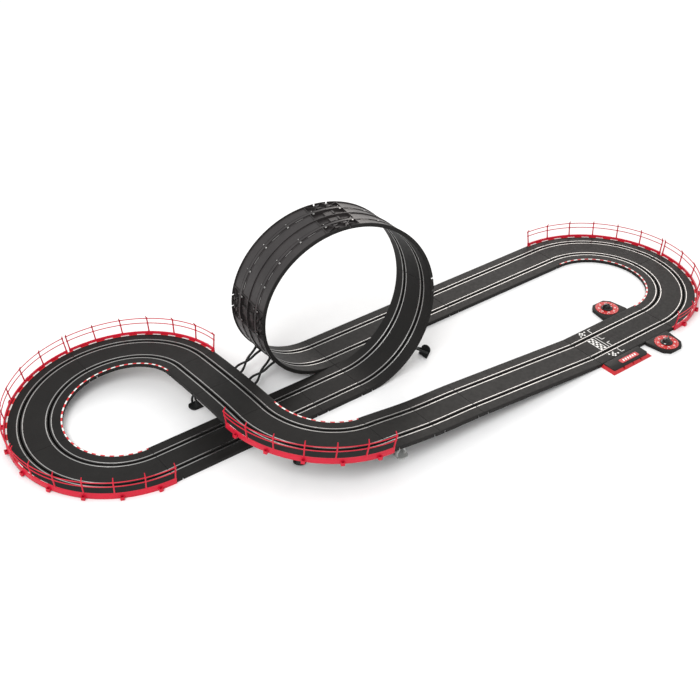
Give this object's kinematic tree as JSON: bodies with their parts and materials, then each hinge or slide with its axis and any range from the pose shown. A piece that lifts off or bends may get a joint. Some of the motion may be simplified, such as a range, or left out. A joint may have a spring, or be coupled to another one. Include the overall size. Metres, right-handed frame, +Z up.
{
  "type": "slot car track set",
  "caption": "Two-lane slot car track: a closed circuit with a vertical loop, a ramp with a flyover, clip-on guard rails and a start section with lap counters.",
  "frame": {"origin": "centre of the circuit's bounding box, on the floor it lies on", "axes": "+X along the front straight in the direction of travel, +Y from the front straight to the back straight, +Z up"},
  "size_m": [1.613, 0.7493, 0.3762],
  "materials": {
    "track_black": "fine matte grain",
    "strip_steel": "bright rolled strip",
    "guard_red": "satin moulded",
    "leg_black": "matte",
    "leg_grey": "matte",
    "tray_red": "satin",
    "housing_black": "fine matte grain",
    "steel_screw": "plain",
    "board_green": "solder resist",
    "socket_black": "matte",
    "label_red": "printed film",
    "ring_red": "printed",
    "knob_black": "satin"
  },
  "bodies": {
    "circuit": {"start_section": "track_black", "right_bend_front": "track_black", "right_bend_back": "track_black", "back_straight_right": "track_black", "back_straight_left": "track_black", "loop_entry": "track_black", "loop_rise": "track_black", "loop_fall": "track_black", "loop_exit": "track_black", "exit_straight": "track_black", "lower_straight": "track_black", "left_bend_low": "track_black", "left_bend_middle": "track_black", "left_bend_high": "track_black", "flyover_deck_back": "track_black", "flyover_deck_front": "track_black", "front_bend": "track_black", "front_ramp_high": "track_black", "front_ramp_middle": "track_black", "front_ramp_low": "track_black", "strips_front": "strip_steel", "strips_right": "strip_steel", "strips_back": "strip_steel", "strips_loop_up": "strip_steel", "strips_loop_down": "strip_steel", "strips_lower": "strip_steel", "strips_left": "strip_steel", "strips_flyover": "strip_steel", "strips_ramp": "strip_steel", "guard_rail_right_front": "guard_red", "guard_rail_right_back": "guard_red", "guard_rail_left_low": "guard_red", "guard_rail_left_middle": "guard_red", "guard_rail_left_high": "guard_red", "guard_rail_front": "guard_red", "flyover_leg_left": "leg_black", "flyover_leg_right": "leg_black", "front_bend_leg": "leg_black", "ramp_leg_outer": "leg_grey", "ramp_leg_inner": "leg_black", "left_bend_leg_low": "leg_black", "left_bend_leg_high": "leg_black", "loop_leg_left_back": "leg_black", "loop_leg_left_front": "leg_black", "loop_leg_right": "leg_black", "base_tray": "tray_red", "housing_cover": "housing_black", "housing_screws": "steel_screw", "circuit_board": "board_green", "power_socket": "socket_black", "control_socket_left": "socket_black", "control_socket_right": "socket_black", "label_plate": "label_red", "counter_ring_inner": "ring_red", "counter_ring_outer": "ring_red"},
    "lap_counter_inner": {"lap_knob_inner": "knob_black", "knob_screw_inner": "steel_screw"},
    "lap_counter_outer": {"lap_knob_outer": "knob_black", "knob_screw_outer": "steel_screw"}
  },
  "joints": [
    {"name": "lap_counter_inner_turn", "type": "hinge", "parent": "circuit", "child": "lap_counter_inner", "pos_m": [0.513, -0.1752, 0.008], "axis": [0, 0, 1], "continuous": true},
    {"name": "lap_counter_outer_turn", "type": "hinge", "parent": "circuit", "child": "lap_counter_outer", "pos_m": [0.513, -0.3466, 0.008], "axis": [0, 0, 1], "continuous": true}
  ]
}
